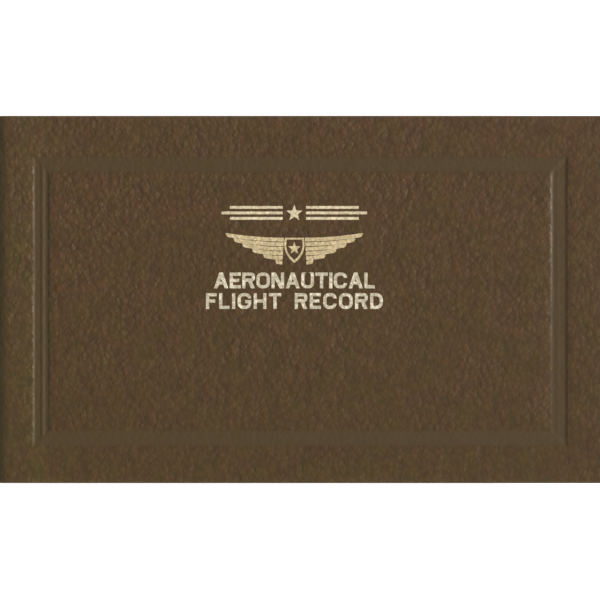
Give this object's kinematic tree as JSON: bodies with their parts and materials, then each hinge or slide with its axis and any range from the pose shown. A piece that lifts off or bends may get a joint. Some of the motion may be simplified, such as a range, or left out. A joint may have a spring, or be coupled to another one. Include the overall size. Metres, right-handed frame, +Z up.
{
  "type": "hard-cover pilot record book",
  "caption": "Leather-covered hard-case flight record book with a pressed frame and foil wings; the covers and leaves turn about the spine so that it opens flat at its middle.",
  "frame": {"origin": "centre of the closed book's box, on the underside of the back cover", "axes": "+X from the spine to the fore-edge, +Y to the head of the page, +Z up through the front cover"},
  "size_m": [0.294, 0.1714, 0.0221],
  "materials": {
    "leather": "satin",
    "millboard": "matte",
    "infill_card": "matte",
    "lining_cloth": "matte",
    "lining_paper": "matte",
    "endpaper": "matte",
    "page_paper": "matte",
    "linen_thread": "matte",
    "end_band": "satin",
    "gold_foil": "satin"
  },
  "bodies": {
    "back_cover": {"back_board": "millboard", "back_cover_leather": "leather", "back_infill": "infill_card", "back_mull_wing": "lining_cloth", "back_pastedown": "endpaper", "back_flyleaf": "endpaper", "signature_07": "page_paper", "signature_08": "page_paper", "signature_09": "page_paper", "signature_10": "page_paper", "signature_11": "page_paper", "signature_12": "page_paper", "rear_sewing_thread": "linen_thread", "spine_mull": "lining_cloth", "spine_lining_paper": "lining_paper", "headband": "end_band", "tailband": "end_band"},
    "spine": {"spine_strip": "millboard", "spine_leather": "leather", "back_joint_leather": "leather", "front_joint_leather": "leather"},
    "front_cover": {"front_board": "millboard", "front_cover_leather": "leather", "front_infill": "infill_card", "front_mull_wing": "lining_cloth", "front_pastedown": "endpaper", "rule_foil": "gold_foil", "wings_foil": "gold_foil", "title_foil": "gold_foil"},
    "front_leaves": {"front_flyleaf": "endpaper", "front_sewing_thread": "linen_thread", "signature_01": "page_paper", "signature_02": "page_paper", "signature_03": "page_paper", "signature_04": "page_paper", "signature_05": "page_paper", "signature_06": "page_paper"}
  },
  "joints": [
    {"name": "leaves_turn", "type": "hinge", "parent": "back_cover", "child": "front_leaves", "pos_m": [-0.1436, 0, 0.011], "axis": [0, -1, 0], "range_deg": [0, 180], "deforming": ["spine_mull", "spine_lining_paper", "headband", "tailband"]},
    {"name": "spine_swing", "type": "hinge", "parent": "back_cover", "child": "spine", "pos_m": [-0.1436, 0, 0.0034], "axis": [0, -1, 0], "range_deg": [0, 90], "deforming": ["back_joint_leather"]},
    {"name": "front_cover_swing", "type": "hinge", "parent": "spine", "child": "front_cover", "pos_m": [-0.1436, 0, 0.0186], "axis": [0, -1, 0], "range_deg": [0, 90], "deforming": ["front_joint_leather"]}
  ],
  "couplings": [
    {"joint": "spine_swing", "follows": "leaves_turn", "ratio": 0.5},
    {"joint": "front_cover_swing", "follows": "leaves_turn", "ratio": 0.5}
  ]
}
